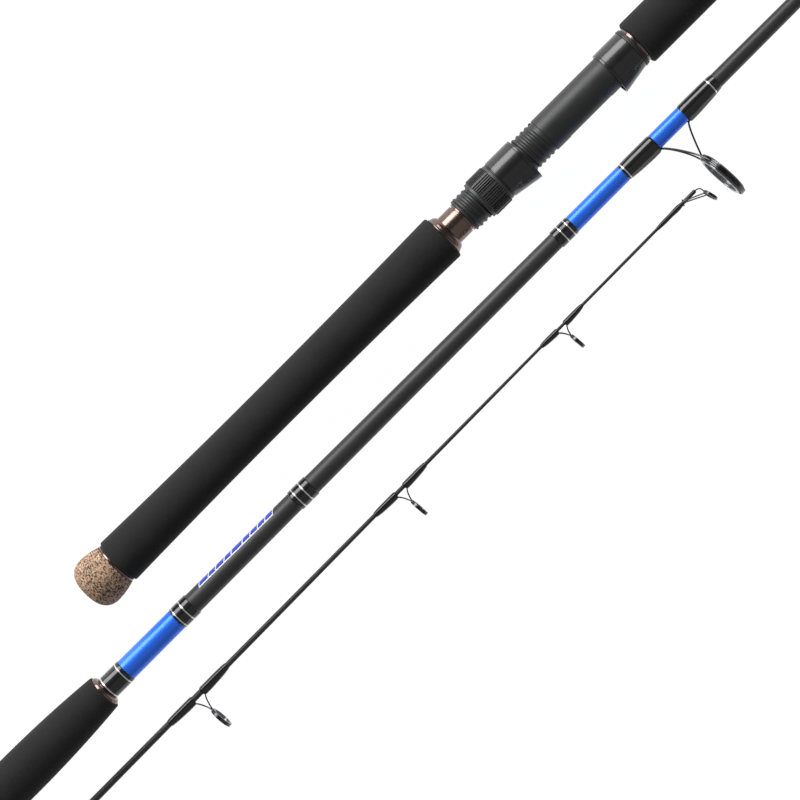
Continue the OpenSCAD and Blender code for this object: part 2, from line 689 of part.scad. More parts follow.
module guide_5_wraps() tip_wraps(guide_5);
module guide_6_frame() lay_tip() guide_frame(guide_6, tip_r(guide_6[STATION]));
module guide_6_ring() lay_tip() guide_ring(guide_6);
module guide_6_wraps() tip_wraps(guide_6);

// Tip-top: a tube over the end of the blank, a loop of wire and a ring
tube_end = tip_ring_z - 4.1;
tip_tube_len = 15.6;
tip_tube_r = tip_front_r + 0.32;
tip_collar_z = tip_ring_z - 14.5;
collar_turn = 28;
collar_loop_r = (tip_tube_r + fit_gap) / cos(collar_turn) + small_wire_r;
module tip_top_frame()
    color(wire_black) lay_tip() difference() {
        union() {
            turned([
                [tube_end - tip_tube_len, tip_tube_r],
                [tube_end - 0.8, tip_tube_r],
                [tube_end - 0.25, tip_tube_r * 0.8],
                [tube_end, tip_tube_r * 0.45]]);
            on_ring(tip_top) tube_ring(band_len(tip_top) * 0.8, tip_top[RADIUS], tip_top[RADIUS] - band_t(tip_top));
            translate([0, 0, tip_collar_z]) rotate([collar_turn, 0, 0]) rotate_extrude()
                translate([collar_loop_r, 0]) circle(r = small_wire_r + 0.06, $fn = 24);
            for (side = [-1, 1]) {
                start = [side * collar_loop_r, 0, tip_collar_z];
                finish = band_point(tip_top, side * tip_top[SPREAD]);
                wire(path(start, (start + finish) / 2 + [side * 0.6, 0.3, 0], finish), small_wire_r);
            }
            crown = band_point(tip_top, 0);
            wire(path([0, 0.1, tube_end - 0.6], [0, 0.4, crown[2] + 0.6], crown), small_wire_r);
        }
        tip_core(tube_end - tip_tube_len - 1, tube_end - 4);
    }
module tip_top_ring() lay_tip() guide_ring(tip_top);
module tip_top_wrap()
    color(gloss_black) lay_tip() difference() {
        turned([
            [tube_end - tip_tube_len - 17, tip_front_r + 0.1],
            [tube_end - tip_tube_len - 13, tip_front_r + 0.6],
            [tube_end - tip_tube_len - 6, tip_front_r + 0.55],
            [tube_end - tip_tube_len - 1, tip_tube_r + 0.45],
            [tube_end - tip_tube_len + 2, tip_tube_r + 0.35],
            [tube_end - tip_tube_len + 4, tip_tube_r + 0.05]]);
        tip_core(tube_end - wrap_reach, tube_end - tip_tube_len + 8);
        translate([0, 0, tube_end - tip_tube_len]) cylinder(h = 10, r = tip_tube_r);
    }

handle_tube();
butt_cap();
butt_ring();
rear_grip();
rear_collar();
collar_trim_ring();
seat_bushings();
seat_barrel();
fixed_hood();
fixed_hood_pad();
seat_flange_ring();
fore_ring();
fore_grip_rear();
moving_hood();
moving_hood_pad();
nut_washer();
lock_nut();
mid_blank();
spigot();
fore_grip_front();
winding_check();
check_wrap();
rear_sleeve();
sleeve_wrap();
accent_wrap();
front_accent_wrap();
front_sleeve();
stripper_wraps();
bridge_sleeve();
trim_bands();
stripper_frame();
stripper_cushion();
stripper_ring();
guide_2_frame();
guide_2_cushion();
guide_2_ring();
guide_2_wraps();
mid_ferrule_wrap();
tip_blank();
tip_ferrule_wrap();
guide_3_frame();
guide_3_ring();
guide_3_wraps();
guide_4_frame();
guide_4_ring();
guide_4_wraps();
guide_5_frame();
guide_5_ring();
guide_5_wraps();
guide_6_frame();
guide_6_ring();
guide_6_wraps();
tip_top_frame();
tip_top_ring();
tip_top_wrap();
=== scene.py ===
"""A heavy spinning rod in three take-down sections, laid side by side on a pale table."""
import json
import math

import bmesh
import bpy
from mathutils import Matrix, Vector


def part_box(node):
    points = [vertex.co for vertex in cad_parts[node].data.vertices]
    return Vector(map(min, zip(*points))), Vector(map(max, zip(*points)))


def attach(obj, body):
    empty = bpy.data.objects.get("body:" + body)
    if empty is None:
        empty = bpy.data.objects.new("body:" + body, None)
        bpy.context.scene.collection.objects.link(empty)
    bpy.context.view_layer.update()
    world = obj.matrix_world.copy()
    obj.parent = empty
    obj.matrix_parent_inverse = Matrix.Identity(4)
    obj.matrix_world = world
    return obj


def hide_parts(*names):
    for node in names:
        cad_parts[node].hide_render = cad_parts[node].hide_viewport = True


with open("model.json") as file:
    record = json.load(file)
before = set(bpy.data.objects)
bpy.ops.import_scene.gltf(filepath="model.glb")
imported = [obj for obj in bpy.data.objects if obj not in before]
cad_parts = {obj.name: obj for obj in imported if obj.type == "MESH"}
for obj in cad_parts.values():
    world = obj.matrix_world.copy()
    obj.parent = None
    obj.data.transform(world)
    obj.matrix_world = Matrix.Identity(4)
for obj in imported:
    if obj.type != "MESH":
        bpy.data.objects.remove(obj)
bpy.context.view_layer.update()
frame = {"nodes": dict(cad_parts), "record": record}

MM = 0.001
MOUNTS = {m["name"]: m for m in frame["record"]["mounts"]}

# Driving sizes of the rod, in metres
MID_REAR_R, MID_FRONT_R, MID_START = 7.56 * MM, 3.28 * MM, 80 * MM
TIP_REAR_R, TIP_FRONT_R, TIP_THIN = 3.0 * MM, 0.95 * MM, 150 * MM
PLUG_LEN = 60 * MM
TUBE_R = 8 * MM
BARREL_R, ROOT_R, PITCH = 11.6 * MM, 10.8 * MM, 3.5 * MM
THREAD_LEN = 66.8 * MM
WRAP_T, SLEEVE_T, TIP_WRAP_T = 0.75 * MM, 0.35 * MM, 0.7 * MM
HOOD_R, HOOD_REACH, CHEEK_R, POCKET_HALF = 13.1 * MM, 16.2 * MM, 10 * MM, 8.6 * MM
FORE_GRIP_R = 15.25 * MM
SLIDE_GAP = 0.1 * MM
NUT_LIP_R = 12.8 * MM
SPIGOT_START, PLUG_START = 0.8 * MM, 0.6 * MM


# ---------------------------------------------------------------- sections
def section_frame(pin, lead, guide):
    """Local axes of a section: x up the rod from its rear end, -y towards its guides."""
    back = Vector(MOUNTS[pin]["axis"])
    start = Vector(MOUNTS[pin]["pos_m"]) + back * (MOUNTS[pin]["dims"]["length_mm"] / 2 * MM + lead)
    x = -back
    out = Vector(MOUNTS[guide]["pos_m"]) - start
    y = -(out - out.dot(x) * x).normalized()
    place = Matrix((x, y, x.cross(y))).transposed().to_4x4()
    place.translation = start
    return place


def butt_frame():
    low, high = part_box("butt_cap")
    return Matrix.Translation((low[0], (low[1] + high[1]) / 2, (low[2] + high[2]) / 2))


BUTT = butt_frame()
MID = section_frame("spigot_pin", SPIGOT_START, "stripper_bore")
TIP = section_frame("tip_plug", PLUG_START, "guide_3_bore")
BODY = {"butt": "butt_section", "mid": "mid_section", "tip": "tip_section", "hood": "moving_hood",
        "nut": "lock_nut"}
PLACE = {"butt": BUTT, "mid": MID, "tip": TIP, "hood": BUTT, "nut": BUTT}


def span(node, section):
    """Stations of a node's two ends along its section, in metres."""
    low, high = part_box(node)
    start = PLACE[section].translation[0]
    return low[0] - start, high[0] - start


def mid_r(x):
    return MID_REAR_R + (MID_FRONT_R - MID_REAR_R) * (x - MID_START) / MID_LEN


MID_LEN = span("mid_blank", "mid")[1] - MID_START
TIP_RING_X = (TIP.inverted() @ Vector(MOUNTS["tip_top_bore"]["pos_m"]))[0]


def tip_r(x):
    left = max(TIP_RING_X - x, TIP_THIN)
    full = TIP_RING_X - PLUG_LEN
    return TIP_FRONT_R + (TIP_REAR_R - TIP_FRONT_R) * (left - TIP_THIN) / (full - TIP_THIN)


# ---------------------------------------------------------------- materials
def blank_material(name):
    mat = bpy.data.materials.new(name)
    mat.use_nodes = True
    tree = mat.node_tree
    return mat, tree, tree.nodes["Principled BSDF"]


def add(tree, kind, **values):
    """A node with its inputs and properties set by name."""
    node = tree.nodes.new(kind)
    for key, value in values.items():
        if key in node.inputs:
            node.inputs[key].default_value = value
        else:
            setattr(node, key, value)
    return node


def coords(tree, scale=(1, 1, 1), turn=(0, 0, 0)):
    """Object coordinates through a Mapping node."""
    source = add(tree, "ShaderNodeTexCoord")
    mapping = add(tree, "ShaderNodeMapping")
    mapping.inputs["Scale"].default_value = scale
    mapping.inputs["Rotation"].default_value = turn
    tree.links.new(source.outputs["Object"], mapping.inputs["Vector"])
    return mapping.outputs["Vector"]


def noise(tree, vector, scale, detail=3, rough=0.5):
    node = add(tree, "ShaderNodeTexNoise", Scale=scale, Detail=detail, Roughness=rough)
    tree.links.new(vector, node.inputs["Vector"])
    return node.outputs["Fac"]


def ramp(tree, value, stops):
    node = add(tree, "ShaderNodeValToRGB")
    band = node.color_ramp
    while len(band.elements) < len(stops):
        band.elements.new(0.5)
    for element, (place, colour) in zip(band.elements, stops):
        element.position = place
        element.color = (*colour, 1) if len(colour) == 3 else colour
    tree.links.new(value, node.inputs["Fac"])
    return node.outputs["Color"]


def grey(value):
    return (value, value, value)


def spread(tree, value, low, high):
    """A 0 to 1 value mapped to a range, for roughness."""
    node = add(tree, "ShaderNodeMapRange")
    node.inputs["To Min"].default_value = low
    node.inputs["To Max"].default_value = high
    tree.links.new(value, node.inputs["Value"])
    return node.outputs["Result"]


def bump(tree, shader, height, distance, strength=1.0, under=None):
    node = add(tree, "ShaderNodeBump", Strength=strength, Distance=distance)
    tree.links.new(height, node.inputs["Height"])
    if under is not None:
        tree.links.new(under, node.inputs["Normal"])
    tree.links.new(node.outputs["Normal"], shader.inputs["Normal"])
    return node.outputs["Normal"]


def cork():
    """Rubberised cork: tan crumbs with dark granules between them."""
    mat, tree, shader = blank_material("rubber_cork")
    vector = coords(tree, scale=(1.3, 0.85, 0.85))
    wobble = add(tree, "ShaderNodeTexNoise", Scale=900.0, Detail=2.0)
    tree.links.new(vector, wobble.inputs["Vector"])
    mixed = add(tree, "ShaderNodeMix", data_type="VECTOR")
    mixed.inputs["Factor"].default_value = 0.0012
    tree.links.new(vector, mixed.inputs[4])
    tree.links.new(wobble.outputs["Color"], mixed.inputs[5])
    worms = noise(tree, mixed.outputs[1], 860.0, 2, 0.6)
    crumbs = ramp(tree, worms, [
        (0.36, (0.03, 0.026, 0.025)), (0.43, (0.07, 0.05, 0.042)), (0.48, (0.33, 0.208, 0.135)),
        (0.56, (0.50, 0.32, 0.20)), (0.68, (0.68, 0.44, 0.28))])
    blotch = noise(tree, vector, 160.0, 4)
    tone = ramp(tree, blotch, [(0.3, grey(0.82)), (0.7, grey(1.08))])
    product = add(tree, "ShaderNodeMix", data_type="RGBA", blend_type="MULTIPLY")
    product.inputs["Factor"].default_value = 1.0
    tree.links.new(crumbs, product.inputs[6])
    tree.links.new(tone, product.inputs[7])
    tree.links.new(product.outputs[2], shader.inputs["Base Color"])
    tree.links.new(spread(tree, blotch, 0.72, 0.92), shader.inputs["Roughness"])
    bump(tree, shader, worms, 0.0004, 0.6)
    return mat


def foam():
    """Black closed-cell foam: matt, with fine cells and faint scuffs."""
    mat, tree, shader = blank_material("grip_foam")
    vector = coords(tree)
    cells = noise(tree, vector, 2600.0, 2, 0.6)
    patch = noise(tree, vector, 60.0, 5, 0.6)
    tint = ramp(tree, patch, [(0.3, (0.0195, 0.0197, 0.0195)), (0.75, (0.029, 0.0292, 0.0288))])
    specks = ramp(tree, cells, [(0.6, grey(0.0)), (0.74, grey(0.03))])
    total = add(tree, "ShaderNodeMix", data_type="RGBA", blend_type="ADD")
    total.inputs["Factor"].default_value = 1.0
    tree.links.new(tint, total.inputs[6])
    tree.links.new(specks, total.inputs[7])
    tree.links.new(total.outputs[2], shader.inputs["Base Color"])
    tree.links.new(spread(tree, patch, 0.66, 0.82), shader.inputs["Roughness"])
    shader.inputs["Diffuse Roughness"].default_value = 1.0
    shader.inputs["Specular IOR Level"].default_value = 0.15
    bump(tree, shader, cells, 0.00012, 0.5)
    return mat


def turned_metal(name, dark, light, rough, metallic=1.0):
    """Turned and anodised metal with fine rings from the tool."""
    mat, tree, shader = blank_material(name)
    rings = noise(tree, coords(tree, scale=(9000, 60, 60)), 1.0, 2)
    cloud = noise(tree, coords(tree), 120.0, 3)
    tree.links.new(ramp(tree, cloud, [(0.3, dark), (0.7, light)]), shader.inputs["Base Color"])
    tree.links.new(spread(tree, rings, rough * 0.75, rough * 1.3), shader.inputs["Roughness"])
    shader.inputs["Metallic"].default_value = metallic
    bump(tree, shader, rings, 0.00002, 0.25)
    return mat


def moulded(name, dark, light, rough, grain=1500.0, depth=0.00004, coat=0.0):
    """Moulded plastic with a fine grain."""
    mat, tree, shader = blank_material(name)
    vector = coords(tree)
    grit = noise(tree, vector, grain, 3, 0.6)
    cloud = noise(tree, vector, 90.0, 4)
    tree.links.new(ramp(tree, cloud, [(0.3, dark), (0.7, light)]), shader.inputs["Base Color"])
    tree.links.new(spread(tree, cloud, rough * 0.85, rough * 1.15), shader.inputs["Roughness"])
    shader.inputs["Coat Weight"].default_value = coat
    shader.inputs["Coat Roughness"].default_value = 0.06
    bump(tree, shader, grit, depth, 0.4)
    return mat


def blank_coat():
    """Satin charcoal coat over wound fibre."""
    mat, tree, shader = blank_material("blank_coat")
    fibre = noise(tree, coords(tree, scale=(60, 900, 900)), 1.0, 3)
    cloud = noise(tree, coords(tree), 40.0, 4)
    tree.links.new(ramp(tree, cloud, [(0.3, (0.023, 0.0231, 0.0238)), (0.7, (0.029, 0.0292, 0.0298))]),
                   shader.inputs["Base Color"])
    tree.links.new(spread(tree, fibre, 0.40, 0.54), shader.inputs["Roughness"])
    bump(tree, shader, fibre, 0.00003, 0.3)
    return mat


def wound_thread(name, dark, light, metallic=0.0, rough=0.35, waves=0.5, coat_weight=1.0,
                 coat_rough=0.04):
    """Thread wound round the rod under a clear, slightly wavy coat."""
    mat, tree, shader = blank_material(name)
    wave = add(tree, "ShaderNodeTexWave", Scale=620.0, Distortion=0.6, Detail=1.0, bands_direction="X")
    tree.links.new(coords(tree), wave.inputs["Vector"])
    tree.links.new(ramp(tree, wave.outputs["Fac"], [(0.2, dark), (0.8, light)]),
                   shader.inputs["Base Color"])
    cloud = noise(tree, coords(tree), 300.0, 2)
    tree.links.new(spread(tree, cloud, rough * 0.8, rough * 1.2), shader.inputs["Roughness"])
    shader.inputs["Metallic"].default_value = metallic
    shader.inputs["Specular IOR Level"].default_value = 0.15
    shader.inputs["Coat Weight"].default_value = coat_weight
    shader.inputs["Coat Roughness"].default_value = coat_rough
    bump(tree, shader, wave.outputs["Fac"], 0.00003, 0.35)
    swell = noise(tree, coords(tree, scale=(1, 0.6, 0.6)), 190.0, 1)
    relief = add(tree, "ShaderNodeBump", Strength=waves, Distance=0.0003)
    tree.links.new(swell, relief.inputs["Height"])
    tree.links.new(relief.outputs["Normal"], shader.inputs["Coat Normal"])
    return mat


def printed(name, colour, light):
    """Printed ink on the blank."""
    mat, tree, shader = blank_material(name)
    cloud = noise(tree, coords(tree), 500.0, 3)
    tree.links.new(ramp(tree, cloud, [(0.3, colour), (0.7, light)]), shader.inputs["Base Color"])
    tree.links.new(spread(tree, cloud, 0.3, 0.42), shader.inputs["Roughness"])
    bump(tree, shader, cloud, 0.00002, 0.2)
    return mat


FINISH = {
    "cork": cork(),
    "foam": foam(),
    "bronze": turned_metal("bronze_anodised", (0.18, 0.128, 0.112), (0.23, 0.168, 0.147), 0.22),
    "dark_metal": turned_metal("dark_plate", (0.03, 0.03, 0.032), (0.05, 0.05, 0.053), 0.3, 0.6),
    "seat": moulded("seat_satin", (0.017, 0.0173, 0.0185), (0.023, 0.0235, 0.025), 0.46, 1100.0,
                     0.00006),
    "nut": moulded("nut_matt", (0.030, 0.0303, 0.031), (0.040, 0.0405, 0.0415), 0.42),
    "gloss": moulded("hood_gloss", (0.005, 0.005, 0.0052), (0.008, 0.008, 0.0083), 0.34, 2000.0,
                      0.00001, 0.5),
    "pad": moulded("rubber_pad", (0.02, 0.02, 0.021), (0.03, 0.03, 0.031), 0.8),
    "bush": moulded("foam_bushing", (0.25, 0.25, 0.24), (0.34, 0.34, 0.33), 0.7),
    "blank": blank_coat(),
    "wrap": wound_thread("black_thread", (0.004, 0.004, 0.0045), (0.011, 0.011, 0.012)),
    "sleeve": wound_thread("blue_thread", (0.020, 0.15, 0.97), (0.034, 0.21, 1.0), 0.45, 0.42, 0.1,
                           0.5, 0.22),
    "silver": wound_thread("silver_thread", (0.5, 0.51, 0.53), (0.85, 0.86, 0.88), 0.8, 0.3, 0.2),
    "wire": turned_metal("plated_wire", (0.055, 0.056, 0.06), (0.10, 0.102, 0.108), 0.22),
    "ceramic": turned_metal("polished_ceramic", (0.20, 0.203, 0.21), (0.26, 0.263, 0.27), 0.16, 0.7),
    "ink_blue": printed("ink_blue", (0.028, 0.055, 0.42), (0.036, 0.07, 0.50)),
    "ink_white": printed("ink_white", (0.72, 0.73, 0.75), (0.82, 0.83, 0.85)),
}


# ---------------------------------------------------------------- mesh helpers
def finish_piece(bm, name, finish, section, slot, *nodes, place=None, smooth=True):
    """Turns a bmesh in section coordinates into a finished piece that rides on its body."""
    bmesh.ops.remove_doubles(bm, verts=bm.verts, dist=1e-7)
    bmesh.ops.recalc_face_normals(bm, faces=bm.faces)
    bmesh.ops.transform(bm, matrix=PLACE[section] if place is None else place, verts=bm.verts)
    for face in bm.faces:
        face.smooth = smooth
    mesh = bpy.data.meshes.new(name)
    bm.to_mesh(mesh)
    bm.free()
    mesh.materials.append(FINISH[finish])
    piece = bpy.data.objects.new(name, mesh)
    bpy.context.scene.collection.objects.link(piece)
    if smooth:
        sharp = mesh.attributes.new("sharp_edge", "BOOLEAN", "EDGE")
        flags = sharp_flags(mesh)
        sharp.data.foreach_set("value", flags)
    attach(piece, BODY[section])
    if nodes:
        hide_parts(*nodes)
    return piece


def sharp_flags(mesh, limit=math.radians(38)):
    """Which edges bend by more than the limit, so that they stay crisp."""
    bm = bmesh.new()
    bm.from_mesh(mesh)
    flags = [len(e.link_faces) != 2 or e.calc_face_angle(0) > limit for e in bm.edges]
    bm.free()
    return flags


def fillet(points, radius, steps=5, closed=False):
    """Rounds the corners of an outline of (x, r) points with arcs."""
    out = []
    count = len(points)
    for i, (px, py) in enumerate(points):
        if not closed and i in (0, count - 1):
            out.append((px, py))
            continue
        here = Vector((px, py))
        before = Vector(points[i - 1]) - here
        after = Vector(points[(i + 1) % count]) - here
        angle = before.angle(after)
        if angle > math.radians(172) or radius <= 0:
            out.append((px, py))
            continue
        reach = min(radius / math.tan(angle / 2), before.length * 0.49, after.length * 0.49)
        a = here + before.normalized() * reach
        c = here + after.normalized() * reach
        for k in range(steps + 1):
            t = k / steps
            p = a * (1 - t) ** 2 + here * 2 * t * (1 - t) + c * t ** 2
            out.append((p[0], p[1]))
    return out


def spin_outline(bm, outline, closed=False, steps=96, turn=math.tau, advance=0.0):
    """Spins an outline of (x, r) points about the x axis."""
    verts = [bm.verts.new((x, r, 0)) for x, r in outline]
    edges = [bm.edges.new(pair) for pair in zip(verts, verts[1:])]
    if closed:
        edges.append(bm.edges.new((verts[-1], verts[0])))
    bmesh.ops.spin(bm, geom=verts + edges, cent=(0, 0, 0), axis=(1, 0, 0),
                   dvec=(advance / steps, 0, 0), angle=turn, steps=steps, use_merge=advance == 0.0)
    return bm


def lathe(name, outline, finish, section, slot, *nodes, closed=False, steps=96, place=None):
    """A turned piece."""
    bm = spin_outline(bmesh.new(), outline, closed, steps)
    return finish_piece(bm, name, finish, section, slot, *nodes, place=place)


def ring(name, rear, front, outer, bore, finish, section, slot, *nodes, soft=0.25 * MM, place=None):
    """A plain turned ring with eased edges."""
    outline = fillet([(rear, bore), (rear, outer), (front, outer), (front, bore)], soft, 4, closed=True)
    return lathe(name, outline, finish, section, slot, *nodes, closed=True, place=place)


def loft(bm, rows, segments=96):
    """Rings of a radius function of the angle, extruded one after the other along x.
    Angle 0 points away from the guides, and pi points towards them."""
    first = bmesh.ops.create_circle(bm, segments=segments, radius=1)["verts"]
    angles = [math.atan2(v.co.y, v.co.x) for v in first]

    def set_row(verts, x, radius):
        for v, a in zip(verts, angles):
            r = radius(a)
            v.co = (x, r * math.cos(a), r * math.sin(a))

    set_row(first, *rows[0])
    verts = first
    edges = list(bm.edges)
    for x, radius in rows[1:]:
        made = bmesh.ops.extrude_edge_only(bm, edges=edges)["geom"]
        edges = [g for g in made if isinstance(g, bmesh.types.BMEdge)]
        fresh = [g for g in made if isinstance(g, bmesh.types.BMVert)]
        by_place = {tuple(round(c, 9) for c in v.co): v for v in fresh}
        verts = [by_place[tuple(round(c, 9) for c in old.co)] for old in verts]
        edges = [e for e in edges if e.verts[0] in verts and e.verts[1] in verts]
        set_row(verts, x, radius)
    return bm


def swept(bm, points, radius, sides=12):
    """A wire along a smooth path, with round ends."""
    path = [Vector(p) for p in points]
    count = len(path)
    rows = []
    for i, p in enumerate(path):
        along = (path[min(i + 1, count - 1)] - path[max(i - 1, 0)]).normalized()
        across = along.cross(Vector((0, 0, 1)))
        across = across.normalized() if across.length > 1e-4 else Vector((0, 1, 0))
        rows.append((p, across, along.cross(across)))
    verts = bmesh.ops.create_circle(bm, segments=sides, radius=1)["verts"]
    angles = [k * math.tau / sides for k in range(sides)]
    edges = list({e for v in verts for e in v.link_edges})

    def set_row(loop, row):
        p, u, w = row
        for v, a in zip(loop, angles):
            v.co = p + (u * math.cos(a) + w * math.sin(a)) * radius

    set_row(verts, rows[0])
    bmesh.ops.contextual_create(bm, geom=edges)
    for row in rows[1:]:
        made = bmesh.ops.extrude_edge_only(bm, edges=edges)["geom"]
        fresh = [g for g in made if isinstance(g, bmesh.types.BMVert)]
        by_place = {tuple(round(c, 9) for c in v.co): v for v in fresh}
        verts = [by_place[tuple(round(c, 9) for c in old.co)] for old in verts]
        edges = [g for g in made if isinstance(g, bmesh.types.BMEdge)
                 and g.verts[0] in verts and g.verts[1] in verts]
        set_row(verts, row)
    bmesh.ops.contextual_create(bm, geom=edges)
    return bm


def bezier(a, b, c, d, steps=14):
    """Points along a cubic curve."""
    a, b, c, d = Vector(a), Vector(b), Vector(c), Vector(d)
    out = []
    for k in range(steps + 1):
        t = k / steps
        s = 1 - t
        out.append(a * s ** 3 + b * 3 * s * s * t + c * 3 * s * t * t + d * t ** 3)
    return out


# ---------------------------------------------------------------- butt section
def butt_cap():
    rear, front = span("butt_cap", "butt")
    low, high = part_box("butt_cap")
    widest = (high[2] - low[2]) / 2
    dome = 10.8 * MM
    outline = [(rear, 0.0)]
    for k in range(1, 19):
        t = math.radians(k * 5)
        outline.append((rear + dome * (1 - math.cos(t)), widest * math.sin(t) ** 0.62))
    for k in range(1, 9):
        t = k / 8
        outline.append((rear + dome + (front - rear - dome) * t, widest - 2.2 * MM * t * t))
    outline.append((front, TUBE_R))
    lathe("butt_cap", outline, "cork", "butt", "cork", "butt_cap", steps=128)


def grip(name, section, profile, bore=TUBE_R, rear_round=0.8 * MM, front_round=1.4 * MM):
    """A foam grip: profile(t) is its radius from rear to front."""
    rear, front = span(name, section)
    steps = 60
    line = [(rear, profile(0) - rear_round)]
    line += [(rear + rear_round * (1 - math.cos(a)), profile(0) - rear_round * (1 - math.sin(a)))
             for a in (math.radians(22.5 * k) for k in range(1, 4))]
    for k in range(steps + 1):
        t = k / steps
        x = rear + rear_round + (front - rear - rear_round - front_round) * t
        line.append((x, profile(t)))
    line += [(front - front_round * (1 - math.sin(a)), profile(1) - front_round * (1 - math.cos(a)))
             for a in (math.radians(22.5 * k) for k in range(1, 5))]
    outline = [(rear, bore)] + line + [(front, bore)]
    lathe(name, outline, "foam", section, "foam", name, closed=True, steps=128)


def rear_profile(t):
    waist, at = 13.7 * MM, 0.46
    reach = at if t < at else 1 - at
    return waist + 1.4 * MM * (abs(t - at) / reach) ** 2


def butt_metal():
    rear, front = span("butt_ring", "butt")
    radius = 14.0 * MM
    seam = rear + 1.5 * MM
    ring("butt_ring", rear + 0.05 * MM, seam, radius, TUBE_R, "bronze", "butt", "bronze",
         "butt_ring", soft=0.5 * MM)
    ring("butt_ring_gasket", seam, front, radius - 0.5 * MM, TUBE_R, "pad", "butt", "bronze")
    rear, front = span("rear_collar", "butt")
    flare, neck, lip, length = 13.2 * MM, 9.9 * MM, 1.0 * MM, 5.0 * MM
    outline = [(rear, TUBE_R), (rear, flare - 0.3 * MM), (rear + 0.1 * MM, flare - 0.1 * MM),
               (rear + 0.3 * MM, flare), (rear + lip - 0.3 * MM, flare), (rear + lip, flare - 0.3 * MM)]
    for k in range(1, 11):
        a = math.radians(9 * k)
        outline.append((rear + lip + (length - lip) * math.sin(a),
                        flare - 0.5 * MM - (flare - 0.5 * MM - neck) * (1 - math.cos(a)) ** 0.8))
    outline += [(front - 1.3 * MM, neck), (front - 0.8 * MM, neck), (front - 0.7 * MM, neck - 0.8 * MM),
                (front, neck - 0.8 * MM), (front, TUBE_R)]
    lathe("rear_collar", outline, "bronze", "butt", "bronze", "rear_collar", closed=True)
    rear, front = span("collar_trim_ring", "butt")
    ring("collar_trim_ring", rear, front, neck + 0.4 * MM, TUBE_R, "bronze", "butt", "bronze",
         "collar_trim_ring", soft=0.35 * MM)
    rear, front = span("fore_ring", "butt")
    ring("fore_ring", rear, front, 12.5 * MM, TUBE_R, "bronze", "butt", "bronze", "fore_ring",
         soft=0.5 * MM)


def seat_barrel():
    """The barrel with its helical thread and the flat bed for the reel foot."""
    rear, front = span("seat_barrel", "butt")
    bore = BARREL_R - 1.9 * MM
    smooth = rear + THREAD_LEN
    outline = [(rear, bore), (rear, 11.1 * MM), (rear + 0.2 * MM, 11.3 * MM),
               (rear + 1.2 * MM, 11.3 * MM), (rear + 1.5 * MM, ROOT_R), (smooth, ROOT_R),
               (smooth + 0.3 * MM, BARREL_R), (front, BARREL_R), (front, bore)]
    bed_rear, bed_front, bed_depth = smooth + 11 * MM, front - 29.3 * MM, 0.35 * MM

    bm = spin_outline(bmesh.new(), outline, True, 128)
    for x in (bed_rear, bed_rear + 0.4 * MM, bed_front - 0.4 * MM, bed_front):
        bmesh.ops.bisect_plane(bm, geom=bm.verts[:] + bm.edges[:] + bm.faces[:], plane_co=(x, 0, 0),
                               plane_no=(1, 0, 0), dist=1e-7)
    floor = -(BARREL_R - bed_depth)
    for v in bm.verts:
        if bed_rear + 0.2 * MM < v.co.x < bed_front - 0.2 * MM and v.co.y < floor:
            v.co.y = floor
    finish_piece(bm, "seat_barrel", "seat", "butt", "seat", "seat_barrel")

    half = PITCH * 0.40
    crest = PITCH * 0.13
    profile = fillet([(-half, ROOT_R - 0.1 * MM), (-half, ROOT_R), (-crest, BARREL_R),
                      (crest, BARREL_R), (half, ROOT_R), (half, ROOT_R - 0.1 * MM)], 0.25 * MM, 3)
    turns = 18
    bm = bmesh.new()
    start = rear + 2.4 * MM
    spin_outline(bm, [(start + x, r) for x, r in profile], True, turns * 64, math.tau * turns,
                 PITCH * turns)
    bmesh.ops.holes_fill(bm, edges=[e for e in bm.edges if e.is_boundary], sides=0)
    finish_piece(bm, "seat_thread", "seat", "butt", "seat")


def hood_outer(t):
    """Radius of a hood at t from its back to its mouth, as a function of the angle."""
    reach = HOOD_R + (HOOD_REACH - HOOD_R) * t
    shift = reach - CHEEK_R

    def radius(a):
        toward = -math.cos(a)
        inside = CHEEK_R ** 2 - (shift * math.sin(a)) ** 2
        cheek = shift * toward + math.sqrt(inside) if inside > 0 else 0
        return max(HOOD_R, cheek) if toward > 0 else HOOD_R
    return radius


def pocket_radius(t, bore):
    """Radius of the pocket that takes the reel foot, at t from its back to its mouth."""
    reach = BARREL_R + 0.6 * MM + (HOOD_REACH - 0.9 * MM - BARREL_R - 0.6 * MM) * t
    shift = reach - POCKET_HALF

    def radius(a):
        toward = -math.cos(a)
        inside = POCKET_HALF ** 2 - (shift * math.sin(a)) ** 2
        deep = shift * toward + math.sqrt(inside) if inside > 0 and toward > 0 else 0
        return max(bore, deep)
    return radius


def grown(radius, by):
    return lambda a: radius(a) + by


